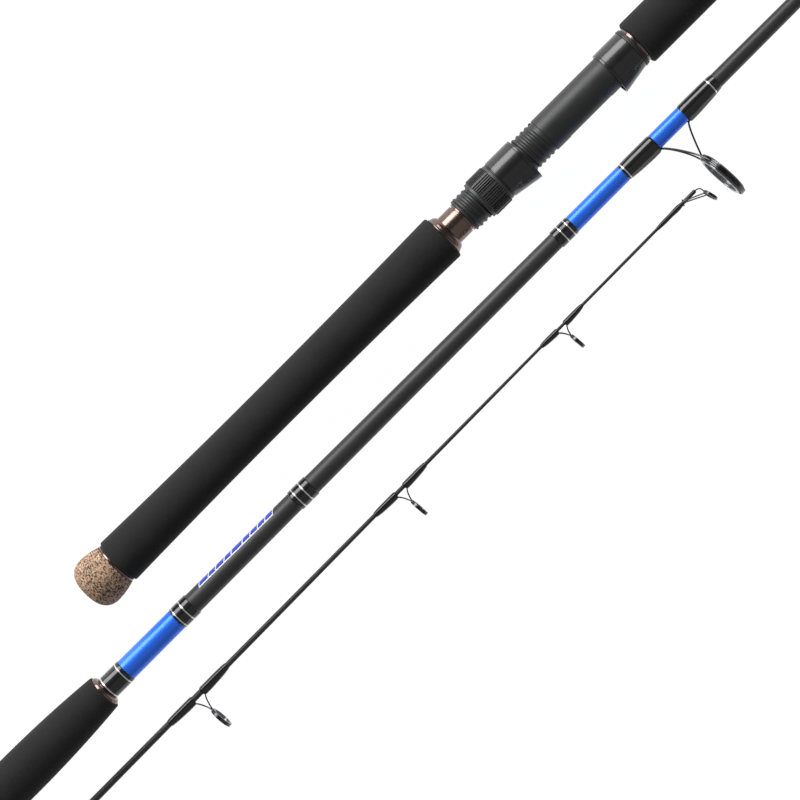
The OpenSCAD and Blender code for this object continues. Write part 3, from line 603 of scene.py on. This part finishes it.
def hood(name, section, flip, bore):
    """A hood: a shell with a rolled lip at its mouth and a pocket for the reel foot."""
    rear, front = span(name, section)
    length = front - rear
    back = 3.0 * MM

    def at(x):
        return front - x if flip else rear + x

    rows = [(at(0), lambda a: bore), (at(0), grown(hood_outer(0), -0.4 * MM)),
            (at(0.12 * MM), grown(hood_outer(0), -0.12 * MM)), (at(0.4 * MM), hood_outer(0))]
    lip = 1.5 * MM
    for k in range(1, 9):
        t = k / 8
        rows.append((at(0.4 * MM + (length - lip - 0.8 * MM) * t), hood_outer(t * (1 - lip / length))))
    rows += [(at(length - lip - 0.2 * MM), grown(hood_outer(0.93), -0.22 * MM)),
             (at(length - lip + 0.1 * MM), grown(hood_outer(0.94), -0.22 * MM)),
             (at(length - lip + 0.35 * MM), grown(hood_outer(0.95), 0.0)),
             (at(length - 0.3 * MM), grown(hood_outer(1.0), 0.0)),
             (at(length - 0.08 * MM), grown(hood_outer(1.0), -0.1 * MM)),
             (at(length), grown(hood_outer(1.0), -0.3 * MM)),
             (at(length), pocket_radius(1.0, bore + 0.25 * MM)),
             (at(length - 0.3 * MM), pocket_radius(0.98, bore))]
    for k in range(1, 7):
        t = 1 - k / 6
        rows.append((at(back + (length - 0.3 * MM - back) * t), pocket_radius(t, bore)))
    rows.append((at(back), lambda a: bore))
    rows.append((at(0), lambda a: bore))
    finish_piece(loft(bmesh.new(), rows, 144), name, "gloss", section, "gloss", name)


def lock_nut():
    """The nut: plain lips, and a belt of ribs in ten groups with flat panels between them."""
    rear, front = span("lock_nut", "nut")
    bore = BARREL_R + SLIDE_GAP
    top, root = 13.5 * MM, 12.7 * MM
    groups, ribs = 10, 4
    step = math.tau / groups / (ribs + 1.6)

    def belt(a):
        part = (a + 0.31) % (math.tau / groups)
        if part > step * (ribs + 0.5):
            return top - 0.05 * MM
        wave = math.cos(part / step * math.tau)
        return root + (top - root) * min(1, max(0, 0.55 + 1.1 * wave))

    def plain(r):
        return lambda a: r

    lip, edge = NUT_LIP_R, 2.1 * MM
    rows = [(rear, plain(bore)), (rear, plain(lip - 0.3 * MM)), (rear + 0.15 * MM, plain(lip - 0.08 * MM)),
            (rear + 0.4 * MM, plain(lip)), (rear + edge - 0.1 * MM, plain(lip)),
            (rear + edge, plain(lip - 0.1 * MM)),
            (rear + edge, lambda a: belt(a) - 0.25 * MM), (rear + edge + 0.25 * MM, belt),
            (front - edge - 0.25 * MM, belt), (front - edge, lambda a: belt(a) - 0.25 * MM),
            (front - edge, plain(lip - 0.1 * MM)), (front - edge + 0.1 * MM, plain(lip)),
            (front - 0.4 * MM, plain(lip)), (front - 0.1 * MM, plain(lip - 0.15 * MM)),
            (front, plain(lip - 0.4 * MM)), (front, plain(bore)), (rear, plain(bore))]
    finish_piece(loft(bmesh.new(), rows, 560), "lock_nut", "nut", "nut", "seat", "lock_nut")


def seat_rings():
    rear, front = span("seat_flange_ring", "butt")
    outer = 13.5 * MM
    floor = outer - 0.5 * MM
    groove = rear + 1.0 * MM
    wall = groove + 0.4 * MM
    outline = fillet([(rear, BARREL_R), (rear, outer), (groove, outer), (groove, floor), (wall, floor),
                      (wall, outer - 0.15 * MM), (front, outer - 0.4 * MM), (front, BARREL_R)],
                     0.15 * MM, 3, closed=True)
    lathe("seat_flange_ring", outline, "seat", "butt", "seat", "seat_flange_ring", closed=True)
    rear, front = span("nut_washer", "hood")
    ring("nut_washer", rear, front, 12.6 * MM, BARREL_R + SLIDE_GAP, "dark_metal", "hood", "seat",
         "nut_washer")


# ---------------------------------------------------------------- middle section
def coat(name, rear, front, thick, finish, radius, section, slot, *nodes, steps=96, end=1.1 * MM):
    """Wound thread under a clear coat, which thins out at both ends."""
    rows = [(rear, radius(rear) - 0.02 * MM), (rear, radius(rear) + thick * 0.30)]
    for k in range(1, 6):
        a = math.radians(18 * k)
        rows.append((rear + end * (1 - math.cos(a)), radius(rear) + thick * (0.30 + 0.70 * math.sin(a))))
    middle = 8
    for k in range(1, middle):
        x = rear + end + (front - rear - 2 * end) * k / middle
        rows.append((x, radius(x) + thick * (1 + 0.03 * math.sin(k * 1.9 + rear * 900))))
    for k in range(5, 0, -1):
        a = math.radians(18 * k)
        rows.append((front - end * (1 - math.cos(a)), radius(front) + thick * (0.30 + 0.70 * math.sin(a))))
    rows += [(front, radius(front) + thick * 0.30), (front, radius(front) - 0.02 * MM)]
    lathe(name, rows, finish, section, slot, *nodes, closed=True, steps=steps)


def mid_parts():
    rear, front = span("mid_blank", "mid")
    mouth = MOUNTS["mid_mouth"]["dims"]["r_mm"] * MM
    outline = [(rear, mid_r(rear) - 0.3 * MM), (rear + 0.3 * MM, mid_r(rear))]
    outline += [(x, mid_r(x)) for x in (rear + (front - rear) * k / 24 for k in range(1, 24))]
    outline += [(front - 0.1 * MM, mid_r(front)), (front, mid_r(front) - 0.1 * MM),
                (front, mouth + 0.05 * MM), (front - 0.2 * MM, mouth), (front - PLUG_LEN, mouth),
                (front - PLUG_LEN, 0.0)]
    outline = [(rear, 0.0)] + outline
    lathe("mid_blank", outline, "blank", "mid", "blank", "mid_blank")

    body, nose, start = 14.65 * MM, 11.55 * MM, 0.62

    def front_profile(t):
        if t < start:
            return FORE_GRIP_R - 0.6 * MM * max(0, (t - 0.1) / (start - 0.1)) ** 1.3
        return body - (body - nose) * ((t - start) / (1 - start)) ** 2.1

    grip("fore_grip_front", "mid", front_profile, bore=MID_REAR_R, rear_round=0.4 * MM,
         front_round=0.7 * MM)

    rear, front = span("winding_check", "mid")
    wide, narrow = 10.2 * MM, mid_r(front) + WRAP_T + 0.15 * MM
    outline = [(rear, mid_r(rear)), (rear, wide), (rear + 0.25 * MM, wide + 0.05 * MM),
               (rear + 0.7 * MM, wide - 0.1 * MM)]
    for k in range(1, 9):
        a = math.radians(11.25 * k)
        outline.append((rear + 0.7 * MM + (front - rear - 0.9 * MM) * math.sin(a),
                        wide - 0.1 * MM - (wide - 0.1 * MM - narrow) * (1 - math.cos(a))))
    outline += [(front, narrow - 0.1 * MM), (front, mid_r(front))]
    lathe("winding_check", outline, "bronze", "mid", "bronze", "winding_check", closed=True)

    for node in ("check_wrap", "sleeve_wrap", "accent_wrap", "front_accent_wrap", "mid_ferrule_wrap"):
        rear, front = span(node, "mid")
        coat(node, rear, front, WRAP_T, "wrap", mid_r, "mid", "wrap", node)
    for node in ("rear_sleeve", "front_sleeve"):
        rear, front = span(node, "mid")
        coat(node, rear, front, SLEEVE_T, "sleeve", mid_r, "mid", "sleeve", node, end=0.3 * MM)


def mid_bands():
    """Silver trim bands wound into the wraps: two on each accent and one on each of the stripper's foot
    wraps.
    """
    places = []
    for node, rear_gap, front_gap in (("check_wrap", 1.4, 13.2), ("sleeve_wrap", 1.7, 7.6),
                                      ("accent_wrap", 3.0, 8.8), ("front_accent_wrap", 5.3, 10.6)):
        rear, _ = span(node, "mid")
        places += [rear + rear_gap * MM, rear + front_gap * MM]
    ring_x = (MID.inverted() @ Vector(MOUNTS["stripper_bore"]["pos_m"]))[0]
    places += [ring_x - 39.2 * MM, ring_x + 31.6 * MM]
    bm = bmesh.new()
    for x in places:
        outer = mid_r(x) + WRAP_T + 0.06 * MM
        half = 0.4 * MM
        outline = fillet([(x - half, outer - 0.5 * MM), (x - half, outer), (x + half, outer),
                          (x + half, outer - 0.5 * MM)], 0.12 * MM, 3, closed=True)
        spin_outline(bm, outline, True, 96)
    finish_piece(bm, "trim_bands", "silver", "mid", "silver", "trim_bands")


# ---------------------------------------------------------------- guides
BAND_HALF = 2.75    # half the width of a guide's band, in wire radii


def foot_wrap_rows(rear, front, root_at_front, radius, thick, foot_t, foot_w):
    """Rows of a wrap that swallows a guide foot: the foot is a ridge that fades away from the root."""
    rows = [(rear, lambda a: radius(rear) - 0.02 * MM)]
    steps = 26
    for k in range(steps + 1):
        t = k / steps
        x = rear + (front - rear) * t
        toward = t if root_at_front else 1 - t
        blunt = min(1, (1 - toward) * 14)
        taper = min(1, toward * 2.4)
        ease = math.sqrt(1 - (1 - blunt) ** 2) * math.sqrt(1 - (1 - taper) ** 2)
        ridge = foot_t * min(1, toward * 1.35) ** 0.8
        swell = thick * (0.22 + 0.78 * ease)

        def row(a, x=x, ridge=ridge, swell=swell, ease=ease):
            off = abs(math.remainder(a - math.pi, math.tau))
            wide = foot_w / radius(x)
            bulge = math.exp(-(off / wide) ** 2)
            return radius(x) + swell + ridge * bulge * (0.35 + 0.65 * ease)
        rows.append((x, row))
    rows.append((front, lambda a: radius(front) - 0.02 * MM))
    return rows


def guide(name, section, radius, outer, wire_r, roots, ends, coat_t, leg_spread,
          cushion):
    """A double-foot wire guide: band, ring, legs, feet and the wraps over the feet."""
    place = PLACE[section]
    mount = MOUNTS[name + "_bore"]
    centre = place.inverted() @ Vector(mount["pos_m"])
    axis = place.inverted().to_3x3() @ Vector(mount["axis"])
    lean = math.atan2(axis[1], axis[0])
    own = Matrix.Translation(centre) @ Matrix.Rotation(lean, 4, "Z")
    bore = mount["dims"]["r_mm"] * MM
    band = wire_r * 1.5
    half = wire_r * BAND_HALF

    bm = bmesh.new()
    outline = [(-half, outer - band), (-half, outer)]
    if cushion:
        for seam in (-0.35 * half, 0.35 * half):
            outline += [(seam - 0.16 * MM, outer), (seam, outer - 0.3 * MM), (seam + 0.16 * MM, outer)]
    outline = fillet(outline + [(half, outer), (half, outer - band)], 0.3 * MM, 4, closed=True)
    spin_outline(bm, outline, True, 120)
    bmesh.ops.transform(bm, matrix=own, verts=bm.verts)

    def on_band(angle, drop=0.0):
        r = outer - band / 2 - drop
        return own @ Vector((0, r * math.cos(angle), r * math.sin(angle)))

    x0 = centre[0]
    rear_root, front_root = x0 + roots[0], x0 + roots[1]
    rear_y = -(radius(rear_root) + 0.55 * MM)
    front_y = -(radius(front_root) + 0.55 * MM)
    for side in (-1, 1):
        top = on_band(side * leg_spread)
        tangent = (on_band(side * leg_spread) - on_band(side * (leg_spread - 0.1))).normalized()
        start = Vector((rear_root - 3.5 * MM, rear_y, side * wire_r * 1.3))
        bend = Vector((rear_root + 0.2 * MM, rear_y - 0.1 * MM, side * wire_r * 2.0))
        path = [start] + bezier(bend - Vector((1.2 * MM, 0, 0)),
                                bend + Vector((0.8 * MM, -0.5 * MM, side * wire_r * 1.6)),
                                top - tangent * (top - bend).length * 0.42, top, 16)
        swept(bm, path, wire_r)
        beyond = [on_band(side * (leg_spread + k * 0.09)) for k in range(7)]
        swept(bm, beyond, wire_r * 0.7)
    crown = on_band(0.0)
    bend = Vector((front_root - 0.2 * MM, front_y - 0.1 * MM, 0))
    path = [Vector((front_root + 3.5 * MM, front_y, 0))] + bezier(
        bend + Vector((1.2 * MM, 0, 0)), bend + Vector((-0.8 * MM, -0.5 * MM, 0)),
        crown + (bend - crown) * 0.35 + Vector((-0.3 * MM, 0, 0)), crown, 14)
    swept(bm, path, wire_r * 1.05)
    for end, root in ((x0 + ends[0], rear_root), (x0 + ends[1], front_root)):
        inset = math.copysign(3 * MM, root - end)
        tongue = [Vector((end + inset + (root - end - inset) * k / 6,
                          -(radius(end + (root - end) * k / 6) + (0.15 + 0.4 * k / 6) * MM), 0))
                  for k in range(7)]
        swept(bm, tongue, wire_r * 0.9)
    finish_piece(bm, name + "_frame", "wire", section, "wire", name + "_frame")

    ring_outer = outer - band - (1.0 * MM if cushion else 0)
    half = 2.5 * MM * min(1, (outer - bore) / (4.4 * MM) + 0.1)
    soft = min(0.7 * MM, (ring_outer - bore) * 0.45)
    outline = fillet([(-half, bore), (-half, ring_outer), (half, ring_outer), (half, bore)], soft, 6,
                     closed=True)
    lathe(name + "_ring", outline, "ceramic", section, "ceramic", name + "_ring", closed=True,
          steps=120, place=place @ own)
    if cushion:
        reach = wire_r * BAND_HALF + 0.3 * MM
        ring(name + "_cushion", -reach, reach, outer - band, ring_outer, "pad", section, "pad",
             name + "_cushion", soft=0.4 * MM, place=place @ own)

    bm = bmesh.new()
    foot_w = wire_r * 3.4
    lead = 1.2 * MM if cushion else -0.4 * MM
    for rear, front, root_at_front in ((x0 + ends[0], rear_root - lead, True),
                                       (front_root + lead, x0 + ends[1], False)):
        loft(bm, foot_wrap_rows(rear, front, root_at_front, radius, coat_t, foot_w * 0.62, foot_w), 72)
    finish_piece(bm, name + "_wraps", "wrap", section, "wrap", name + "_wraps")


def mid_guides():
    wire_r, leg_spread = 0.55 * MM, math.radians(50)
    for name, outer, roots, ends in (("stripper", 16.5, (-13.8, 7.2), (-41, 36.3)),
                                     ("guide_2", 12, (-10.5, 5.6), (-33, 30))):
        guide(name, "mid", mid_r, outer * MM, wire_r, [v * MM for v in roots], [v * MM for v in ends],
              WRAP_T, leg_spread, True)
    ring_x = (MID.inverted() @ Vector(MOUNTS["stripper_bore"]["pos_m"]))[0]
    coat("bridge_sleeve", ring_x - 15 * MM, ring_x + 8.4 * MM, SLEEVE_T, "sleeve", mid_r, "mid",
         "sleeve", "bridge_sleeve", end=0.3 * MM)


def tip_parts():
    rear, front = span("tip_blank", "tip")
    plug = MOUNTS["tip_plug"]["dims"]["r_mm"] * MM
    outline = [(rear, 0.0), (rear, plug - 0.4 * MM), (rear + 0.5 * MM, plug), (PLUG_LEN, plug),
               (PLUG_LEN + 0.1 * MM, tip_r(PLUG_LEN))]
    outline += [(x, tip_r(x)) for x in (PLUG_LEN + (front - PLUG_LEN) * k / 40 for k in range(1, 41))]
    outline.append((front, 0.0))
    lathe("tip_blank", outline, "blank", "tip", "blank", "tip_blank", steps=48)
    rear, front = span("tip_ferrule_wrap", "tip")
    coat("tip_ferrule_wrap", rear, front, WRAP_T, "wrap", tip_r, "tip", "wrap", "tip_ferrule_wrap",
         steps=64)
    wire_r = 0.4 * MM
    for name, outer, roots, ends, spread_deg in (
            ("guide_3", 8.4, (-6.4, 4.2), (-28, 26), 28),
            ("guide_4", 7.2, (-5, 2.4), (-25, 23.8), 26),
            ("guide_5", 6.0, (-4.3, 2.7), (-22, 21), 26),
            ("guide_6", 5.15, (-4, 2.1), (-17.7, 17.1), 26)):
        guide(name, "tip", tip_r, outer * MM, wire_r, [v * MM for v in roots], [v * MM for v in ends],
              TIP_WRAP_T, math.radians(spread_deg), False)


def tip_top():
    """The tip-top: a tube over the blank's end, a collar loop, two braces, a front wire and a ring."""
    mount = MOUNTS["tip_top_bore"]
    centre = TIP.inverted() @ Vector(mount["pos_m"])
    axis = TIP.inverted().to_3x3() @ Vector(mount["axis"])
    own = Matrix.Translation(centre) @ Matrix.Rotation(math.atan2(axis[1], axis[0]), 4, "Z")
    outer, wire_r = 4.65 * MM, 0.4 * MM
    bore, band = mount["dims"]["r_mm"] * MM, 0.6 * MM
    end = TIP_RING_X - 4.1 * MM
    length, tube = 15.6 * MM, TIP_FRONT_R + 0.32 * MM

    bm = bmesh.new()
    half = 0.9 * MM
    outline = fillet([(-half, outer - band), (-half, outer), (half, outer), (half, outer - band)],
                     0.27 * MM, 4, closed=True)
    spin_outline(bm, outline, True, 96)
    bmesh.ops.transform(bm, matrix=own, verts=bm.verts)
    spin_outline(bm, [(end - length, TIP_FRONT_R), (end - length, tube), (end - 0.9 * MM, tube),
                      (end - 0.35 * MM, tube * 0.86), (end - 0.08 * MM, tube * 0.5), (end, 0.0)], False, 48)
    turn = math.radians(28)
    loop_x = TIP_RING_X - 14.5 * MM
    loop_r = (tube + 0.03 * MM) / math.cos(turn) + wire_r
    loop = [Vector((loop_x + loop_r * math.cos(a) * math.sin(turn), loop_r * math.cos(a) * math.cos(turn),
                    loop_r * math.sin(a))) for a in (math.tau * k / 32 for k in range(33))]
    swept(bm, loop, wire_r)

    def on_band(angle):
        r = outer - band / 2
        return own @ Vector((0, r * math.cos(angle), r * math.sin(angle)))

    for side in (-1, 1):
        start = Vector((loop_x, 0, side * loop_r))
        finish = on_band(side * math.radians(62))
        swept(bm, bezier(start, start + Vector((2.5 * MM, -0.6 * MM, side * 0.5 * MM)),
                         finish + Vector((-3 * MM, 1.6 * MM, side * 0.3 * MM)), finish, 14), wire_r)
    crown = on_band(0.0)
    swept(bm, bezier((end - 0.6 * MM, 0, 0), (end + 1.6 * MM, 0.15 * MM, 0),
                     (crown[0] + 0.6 * MM, -1.0 * MM, 0), crown, 14), wire_r)
    finish_piece(bm, "tip_top_frame", "wire", "tip", "wire", "tip_top_frame")

    ring_outer, half = outer - band, 0.95 * MM
    outline = fillet([(-half, bore), (-half, ring_outer), (half, ring_outer), (half, bore)],
                     0.25 * MM, 5, closed=True)
    lathe("tip_top_ring", outline, "ceramic", "tip", "ceramic", "tip_top_ring", closed=True, steps=96,
          place=TIP @ own)

    rear, front = span("tip_top_wrap", "tip")
    shape = [(0.0, 0.08), (0.08, 0.28), (0.2, 0.5), (0.36, 0.6), (0.52, 0.55), (0.62, 0.62),
             (0.75, 0.83), (0.86, 0.8), (0.95, 0.55), (1.0, 0.37)]
    under = TIP_FRONT_R - 0.02 * MM
    outline = [(rear, under)]
    outline += [(rear + (front - rear) * t, TIP_FRONT_R + r * MM) for t, r in shape]
    outline.append((front, under))
    lathe("tip_top_wrap", outline, "wrap", "tip", "wrap", "tip_top_wrap", closed=True, steps=64)


# ---------------------------------------------------------------- printed marks
def slanted_bars(name, bars, height, centre_angle, lift, finish, grow=0.0, slant=0.45):
    """Plain slanted bars printed round the blank: bars are (start, width) stations."""
    bm = bmesh.new()
    rows = 8
    for start, width in bars:
        low, high = -height / 2 - grow, height / 2 + grow
        grid = []
        for j in range(rows + 1):
            arc = low + (high - low) * j / rows
            line = []
            for x in (start - grow, start + width + grow):
                station = x - arc * slant
                r = mid_r(station) + lift
                a = centre_angle + arc / r
                line.append(bm.verts.new((station, r * math.cos(a), r * math.sin(a))))
            grid.append(line)
        for j in range(rows):
            bm.faces.new((grid[j][0], grid[j][1], grid[j + 1][1], grid[j + 1][0]))
    bmesh.ops.recalc_face_normals(bm, faces=bm.faces)
    finish_piece(bm, name, finish, "mid", "blank")


def marks():
    """A row of bars in place of the word on the blank, with a pale edge round each."""
    widths = [7.0, 5.0, 6.2, 5.0, 8.2, 5.6, 5.2, 5.2, 5.6]
    bars, x = [], span("sleeve_wrap", "mid")[1] + 11.5 * MM
    for w in widths:
        bars.append((x, w * MM))
        x += (w + 0.9) * MM
    angle = math.radians(31)
    slanted_bars("mark_outline", bars, 4.6 * MM, angle, 0.03 * MM, "ink_white", grow=0.55 * MM)
    slanted_bars("mark_bars", bars, 4.2 * MM, angle, 0.06 * MM, "ink_blue")


# ---------------------------------------------------------------- build
butt_cap()
grip("rear_grip", "butt", rear_profile)
butt_metal()
seat_barrel()
hood("moving_hood", "hood", False, BARREL_R + SLIDE_GAP)
hood("fixed_hood", "butt", True, BARREL_R)
lock_nut()
seat_rings()
grip("fore_grip_rear", "butt", lambda t: FORE_GRIP_R, rear_round=1.4 * MM, front_round=0.4 * MM)
mid_parts()
mid_bands()
mid_guides()
tip_parts()
tip_top()
marks()

CAD_FINISH = {"handle_tube": "blank", "spigot": "blank", "seat_bushings": "bush",
              "moving_hood_pad": "pad", "fixed_hood_pad": "pad"}
for node, finish in CAD_FINISH.items():
    for material_slot in frame["nodes"][node].material_slots:
        material_slot.material = FINISH[finish]


# ---------------------------------------------------------------- stage
def table():
    bm = bmesh.new()
    bmesh.ops.create_grid(bm, x_segments=2, y_segments=2, size=6)
    mesh = bpy.data.meshes.new("table")
    bm.to_mesh(mesh)
    bm.free()
    mat, tree, shader = blank_material("table_white")
    cloud = noise(tree, coords(tree), 3.0, 2)
    tree.links.new(ramp(tree, cloud, [(0.3, grey(0.11)), (0.7, grey(0.13))]),
                   shader.inputs["Base Color"])
    shader.inputs["Roughness"].default_value = 0.9
    shader.inputs["Specular IOR Level"].default_value = 0.1
    shader.inputs["Emission Color"].default_value = (1, 1, 1, 1)
    shader.inputs["Emission Strength"].default_value = 0.98
    mesh.materials.append(mat)
    piece = bpy.data.objects.new("table", mesh)
    piece.location.z = -0.0002
    bpy.context.scene.collection.objects.link(piece)


def area_light(name, place, target, size, power, tall=None):
    data = bpy.data.lights.new(name, "AREA")
    data.energy = power
    data.size = size
    if tall:
        data.shape = "RECTANGLE"
        data.size_y = tall
    lamp = bpy.data.objects.new(name, data)
    lamp.location = place
    lamp.rotation_euler = (Vector(target) - Vector(place)).to_track_quat("-Z", "Y").to_euler()
    bpy.context.scene.collection.objects.link(lamp)


def studio():
    world = bpy.data.worlds.new("studio")
    bpy.context.scene.world = world
    world.use_nodes = True
    world.node_tree.nodes["Background"].inputs["Color"].default_value = (1, 1, 1, 1)
    world.node_tree.nodes["Background"].inputs["Strength"].default_value = 0.11
    area_light("key", (-0.1, 1.75, 0.95), (-0.1, 0, 0), 3.0, 76, 1.2)
    area_light("fill", (-0.1, -2.2, 2.4), (-0.1, 0, 0), 6.0, 21, 5.0)
    bpy.context.scene.view_settings.view_transform = "Standard"


def camera():
    """Looks straight down from a little towards the tip, with the rods running up to the right."""
    height, across, ahead = 1.5, 0.472, 0.053
    centre = Vector((BUTT.translation[0] + 0.2112, MID.translation[1] - 0.00145, 0.015))
    place = centre + Vector((ahead, 0, height))
    heading = math.radians(45.03)
    up = Vector((math.cos(heading), math.sin(heading), 0))
    back = Vector((0, 0, 1))
    right = up.cross(back)
    data = bpy.data.cameras.new("camera")
    data.sensor_width = 36
    data.lens = 36 * height / across
    data.shift_x = -ahead * right[0] / across
    data.shift_y = -ahead * up[0] / across
    data.clip_start = 0.01
    eye = bpy.data.objects.new("camera", data)
    eye.matrix_world = Matrix.Translation(place) @ Matrix((right, up, back)).transposed().to_4x4()
    bpy.context.scene.collection.objects.link(eye)
    bpy.context.scene.camera = eye


table()
studio()
camera()
bpy.context.view_layer.update()
